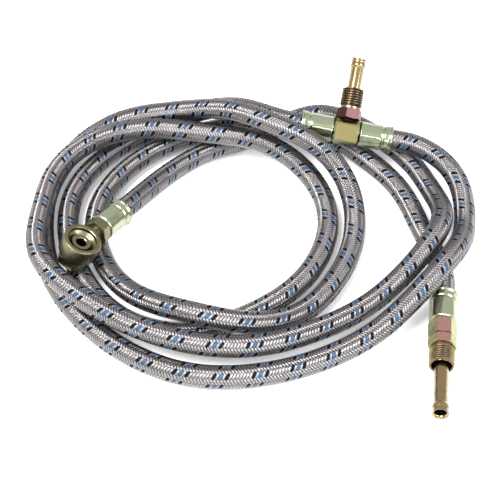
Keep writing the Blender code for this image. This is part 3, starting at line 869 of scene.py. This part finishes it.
def makeStud(name, node, place, seat, shank, hexLook, spec):
    start = seat + spec["hexLength"]
    top = start + spec["threadLength"]
    outer = spec["threadRadius"]
    root = outer - spec["undercutDepth"]
    threadLow = start + spec["undercutLength"]
    rows = round((top - threadLow) / spec["pitch"] * spec["rowsInPitch"])
    ridge = []
    for height in np.linspace(top, threadLow, rows + 1):
        reach = min(outer, outer - spec["threadChamfer"] + (top - height),
                    root + (height - threadLow))
        ridge.append((reach, height))
    inset = seat + hexSpec["chamfer"]
    body = [(0, top), *ridge, (root, inset), (spec["shankRadius"], inset),
            (spec["shankRadius"], seat - shank), (0, seat - shank)]
    stud = hexagon(name + "Hex", hexSpec["flats"], seat, start, hexSpec)
    thread = turned(name + "Thread", body, change=lambda radius, height, angle: threadCut(
        radius, height, angle, threadLow, spec))
    combine(stud, thread, "UNION")
    past = top + seam
    hole = spec["rimHole"]
    socket = spec["tubeSocket"]
    floor = seat + spec["tubeSeat"]
    bore = [(0, past), (hole + spec["rimBevel"], past), (hole, top - spec["rimBevelDepth"]),
            (hole, top - spec["rimDepth"]), (socket, top - spec["rimDepth"]), (socket, floor),
            (spec["boreRadius"], floor), (spec["boreRadius"], seat - shank - seam),
            (0, seat - shank - seam)]
    combine(stud, turned(name + "Bore", bore), "DIFFERENCE")
    # thread faces below this radius are painted darker, as shade in the grooves
    grooveShadeRadius = outer - spec["threadDepth"] * spec["grooveShadeShare"]
    zones = [(hexLook, -20, start + 0.05, 0, 20), ("zincThread", start - 0.4, top + 1, 0, 20),
             ("zincGrooveShade", threadLow, top - 0.5, 0, grooveShadeRadius),
             ("zincGold", top - 0.3, top + 1, 0, outer - 0.6),
             ("boreShade", seat - shank, top - 0.9, 0, hole + 0.05)]
    finishPiece(stud, name, node, place, zones)


ferruleEnd = ferruleLength + seam
tailHexLength = 10.7
endSeat = ferruleEnd + tailHexLength + seam
endShank = 8.0
teeSeat = blockSize / 2 + seam
branchSocket = 4.0
makeStud("endStud", "end_stud", endAxes, endSeat, endShank, "zincPink", studSpec)
makeStud("teeStud", "tee_stud", studAxes, teeSeat, branchSocket, "zincMauve", studSpec)
print("threaded studs made")

# Beaded stub tubes; the bead's outline is (depth from the mouth, radius)
tubeSpec = {
    "bead": [(0, 4.45), (0.7, 4.6), (2.1, 4.25), (3.5, 4.62), (4.3, 4.72), (5.3, 4.42), (6, 4)],
    "beadRows": 25, "beadBlur": 0.45, "blurSamples": 7,
    "hole": 2.9, "holeBevel": 0.75, "holeBevelDepth": 1.2, "lipDepth": 0.2,
    "endOut": 31.3, "teeOut": 19.0,
}


def makeTube(name, node, place, seat, out, spec):
    low = seat + studSpec["tubeSeat"] + seam
    top = seat + studSpec["hexLength"] + studSpec["threadLength"] + out
    depths, radii = np.array(spec["bead"]).T
    # the bead is rolled, so its outline is smoothed between the knots
    blur = np.linspace(-spec["beadBlur"], spec["beadBlur"], spec["blurSamples"])
    outside = [(float(np.interp(depth + blur, depths, radii).mean()), top - depth)
               for depth in np.linspace(0, depths[-1], spec["beadRows"])]
    hole = spec["hole"]
    outline = outside + [(radii[-1], low), (hole, low), (hole, top - spec["holeBevelDepth"]),
                         (hole + spec["holeBevel"], top - spec["lipDepth"])]
    tube = turned(name + "Body", outline)
    zones = [("zincGold", low - 1, top + 1, 0, 20),
             ("boreShade", low - 1, top - 1.1, 0, hole + 0.15)]
    finishPiece(tube, name, node, place, zones, crease=45)


makeTube("endStubTube", "end_stub_tube", endAxes, endSeat, tubeSpec["endOut"], tubeSpec)
makeTube("teeStubTube", "tee_stub_tube", studAxes, teeSeat, tubeSpec["teeOut"], tubeSpec)
print("stub tubes made")

# Barbed tails: the hexagon of the end fitting shows, the barbs are inside the hoses
tailSpec = {
    "lipRadius": 5.0, "shoulderRadius": 5.9, "shoulderLength": 1.0, "barbRoot": 3.5,
    "barbCrest": 3.9, "barbPitch": 4.4, "barbRamp": 0.8, "barbs": 3, "tip": 1.2,
    "tipShare": 0.9, "bore": 2.5,
}


def tailOutline(top, spec):
    shoulder = ferruleSpec["lipStart"] - seam
    hoseEnd = shoulder - spec["shoulderLength"] - seam
    root = spec["barbRoot"]
    points = [(0, top), (spec["lipRadius"], top), (spec["lipRadius"], shoulder),
              (spec["shoulderRadius"], shoulder),
              (spec["shoulderRadius"], shoulder - spec["shoulderLength"]),
              (root, shoulder - spec["shoulderLength"])]
    height = hoseEnd - spec["barbPitch"] / 2
    for barb in range(spec["barbs"]):
        points += [(root, height), (spec["barbCrest"], height),
                   (root, height - spec["barbPitch"] * spec["barbRamp"])]
        height -= spec["barbPitch"]
    return points + [(root * spec["tipShare"], spec["tip"]), (0, spec["tip"])]


def makeStudTail(name, node, place):
    top = ferruleEnd + tailHexLength
    tail = hexagon(name + "Hex", hexSpec["flats"], ferruleEnd, top, hexSpec)
    inner = turned(name + "Barbs", tailOutline(ferruleEnd + 2 * hexSpec["chamfer"], tailSpec),
                   barbSteps)
    combine(tail, inner, "UNION")
    socket = studSpec["shankRadius"] + seam
    floor = top - endShank
    bore = [(0, top + seam), (socket, top + seam), (socket, floor), (tailSpec["bore"], floor),
            (tailSpec["bore"], 0), (0, 0)]
    combine(tail, turned(name + "Bore", bore), "DIFFERENCE")
    zones = [("zincPink", -1, top + 1, 0, 20), ("zincPale", -1, ferruleEnd - 0.1, 0, 20)]
    finishPiece(tail, name, node, place, zones)


makeStudTail("studTail", "stud_tail", endAxes)
print("end tail made")

# Tee block: a cube with the long edge towards the viewer planed off
blockSpec = {"planed": 3.6, "edge": 0.45, "runSocket": 1.9}


def makeBlock(name, node, place, spec):
    half = blockSize / 2
    shape = bmesh.new()
    bmesh.ops.create_cube(shape, size=blockSize)
    planed = [edge for edge in shape.edges
              if all(vert.co.y < 0 < vert.co.z for vert in edge.verts)]
    bmesh.ops.bevel(shape, geom=planed, offset=spec["planed"], segments=1, affect="EDGES")
    bmesh.ops.bevel(shape, geom=shape.edges[:], offset=spec["edge"], segments=3, affect="EDGES")
    block = meshObject(name + "Cube", shape)
    socket = studSpec["shankRadius"] + seam
    floor = half - branchSocket
    branch = [(0, half + seam), (socket, half + seam), (socket, floor), (tailSpec["bore"], floor),
              (tailSpec["bore"], 0), (0, 0)]
    combine(block, turned(name + "Branch", branch), "DIFFERENCE")
    neck = ferruleSpec["lipHole"]
    depth = half - spec["runSocket"]
    run = [(0, half + seam), (neck, half + seam), (neck, depth), (tailSpec["bore"], depth),
           (tailSpec["bore"], -depth), (neck, -depth), (neck, -half - seam), (0, -half - seam)]
    across = turned(name + "Run", run)
    across.rotation_euler = (0, math.pi / 2, 0)
    combine(block, across, "DIFFERENCE")
    finishPiece(block, name, node, place, [("zincBlock", -20, 20, 0, 20)])


makeBlock("teeBody", "tee_body", teeAxes, blockSpec)
print("tee block made")

# Banjo union: eye, neck and tail brazed as one, a hollow bolt and its washer
eyeSpec = {
    "radius": 11.0, "height": 11.0, "rounding": 0.8, "hole": 6.0, "recess": 8.3,
    "recessDepth": 2.2, "coneDepth": 1.8, "holeBevel": 0.7, "holeBevelDepth": 0.4,
    "neckRadius": 4.7, "neckHexLength": 6.0, "neckOverlap": 1.2,
    "brazeReach": 0.7, "brazeStart": 0.6, "brazeLength": 2.2, "brazeRows": 6,
}
boltSpec = {
    "radius": 5.7, "edge": 0.5, "bore": 3.0, "boreFloor": 1.5, "boreBevel": 0.7,
    "boreBevelDepth": 0.4, "endInset": 2.6, "headFlats": 17.0, "headHeight": 6.0, "waist": 4.6,
    "waistHeight": 4.6, "crossHole": 1.3, "crossTurn": math.radians(8), "crossSteps": 32,
}
washerSpec = {"radius": 9.5, "height": 1.2, "rounding": 0.25}


def makeEye(name, node, spec):
    top = ferruleEnd + spec["neckHexLength"]
    brazeLow = eyeDistance - spec["radius"] - spec["brazeStart"]
    local = banjoAxes.inverted() @ eyeAxes
    local.translation /= mm
    body = hexagon(name + "Hex", hexSpec["flats"], ferruleEnd, top, hexSpec)
    inner = turned(name + "Barbs", tailOutline(ferruleEnd + 2 * hexSpec["chamfer"], tailSpec),
                   barbSteps)
    combine(body, inner, "UNION")
    neck = spec["neckRadius"]
    fillet = [(neck + spec["brazeReach"] * share ** 2, brazeLow + spec["brazeLength"] * share)
              for share in np.linspace(0, 1, spec["brazeRows"])]
    stem = [(0, top - spec["neckOverlap"]), (neck, top - spec["neckOverlap"]), *fillet,
            (neck, eyeDistance), (0, eyeDistance)]
    combine(body, turned(name + "Neck", stem), "UNION")
    half = spec["height"] / 2
    outer = spec["radius"]
    ring = turned(name + "Ring", softened([(0, half), (outer, half), (outer, -half), (0, -half)],
                                          spec["rounding"], 5), eyeSteps)
    ring.matrix_world = local
    combine(body, ring, "UNION")
    bore = [(0, 0), (tailSpec["bore"], 0), (tailSpec["bore"], eyeDistance), (0, eyeDistance)]
    combine(body, turned(name + "Bore", bore, barbSteps), "DIFFERENCE")
    past = half + seam
    floor = half - spec["recessDepth"]
    recess = spec["recess"]
    hole = [(0, past), (recess + spec["holeBevel"], past), (recess, half - spec["holeBevelDepth"]),
            (recess, floor), (spec["hole"], floor - spec["coneDepth"]), (spec["hole"], -past),
            (0, -past)]
    cutter = turned(name + "Hole", hole, eyeSteps)
    cutter.matrix_world = local
    combine(body, cutter, "DIFFERENCE")
    zones = [("zincEye", -1, 80, 0, 80), ("zincPale", -1, ferruleEnd - 0.1, 0, 20)]
    finishPiece(body, name, node, banjoAxes, zones)


def makeBolt(name, node, spec):
    headTop = -eyeSpec["height"] / 2 - washerSpec["height"] - 2 * seam
    bolt = hexagon(name + "Head", spec["headFlats"], headTop - spec["headHeight"], headTop, hexSpec)
    top = eyeSpec["height"] / 2 - spec["endInset"]
    half = spec["waistHeight"] / 2
    radius = spec["radius"]
    slope = radius - spec["waist"]
    joined = headTop - hexSpec["chamfer"]
    shank = [(0, top), (radius - spec["edge"], top), (radius, top - spec["edge"]),
             (radius, half + slope), (spec["waist"], half), (spec["waist"], -half),
             (radius, -half - slope), (radius, joined), (0, joined)]
    combine(bolt, turned(name + "Shank", shank), "UNION")
    bore = spec["bore"]
    floor = -half - spec["boreFloor"]
    drilled = [(0, top + seam), (bore + spec["boreBevel"], top + seam),
               (bore, top - spec["boreBevelDepth"]), (bore, floor), (0, floor - bore / 2)]
    combine(bolt, turned(name + "Bore", drilled), "DIFFERENCE")
    reach = 2 * spec["waist"] - seam
    cross = turned(name + "Cross", [(0, -reach), (spec["crossHole"], -reach),
                                    (spec["crossHole"], reach), (0, reach)],
                   spec["crossSteps"])
    cross.rotation_euler = (0, math.pi / 2, spec["crossTurn"])
    combine(bolt, cross, "DIFFERENCE")
    zones = [("zincEye", -40, 20, 0, 20), ("boreShade", -20, top - 0.35, 0, bore + 0.05)]
    finishPiece(bolt, name, node, eyeAxes, zones)


def makeWasher(name, node, spec):
    high = -eyeSpec["height"] / 2 - seam
    low = high - spec["height"]
    outline = [(spec["radius"], high), (spec["radius"], low), (eyeSpec["hole"], low),
               (eyeSpec["hole"], high)]
    washer = turned(name + "Ring", softened(outline, spec["rounding"]))
    finishPiece(washer, name, node, eyeAxes, [("softCopper", -40, 20, 0, 20)])


makeEye("banjoEye", "banjo_eye", eyeSpec)
makeBolt("banjoBolt", "banjo_bolt", boltSpec)
makeWasher("banjoWasher", "banjo_washer", washerSpec)
print("banjo union made")

# The tee's two tails are wholly inside their ferrules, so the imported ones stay
for node in ("tee_tail_left", "tee_tail_right"):
    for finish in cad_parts[node].material_slots:
        finish.material = zinc["zincPale"]
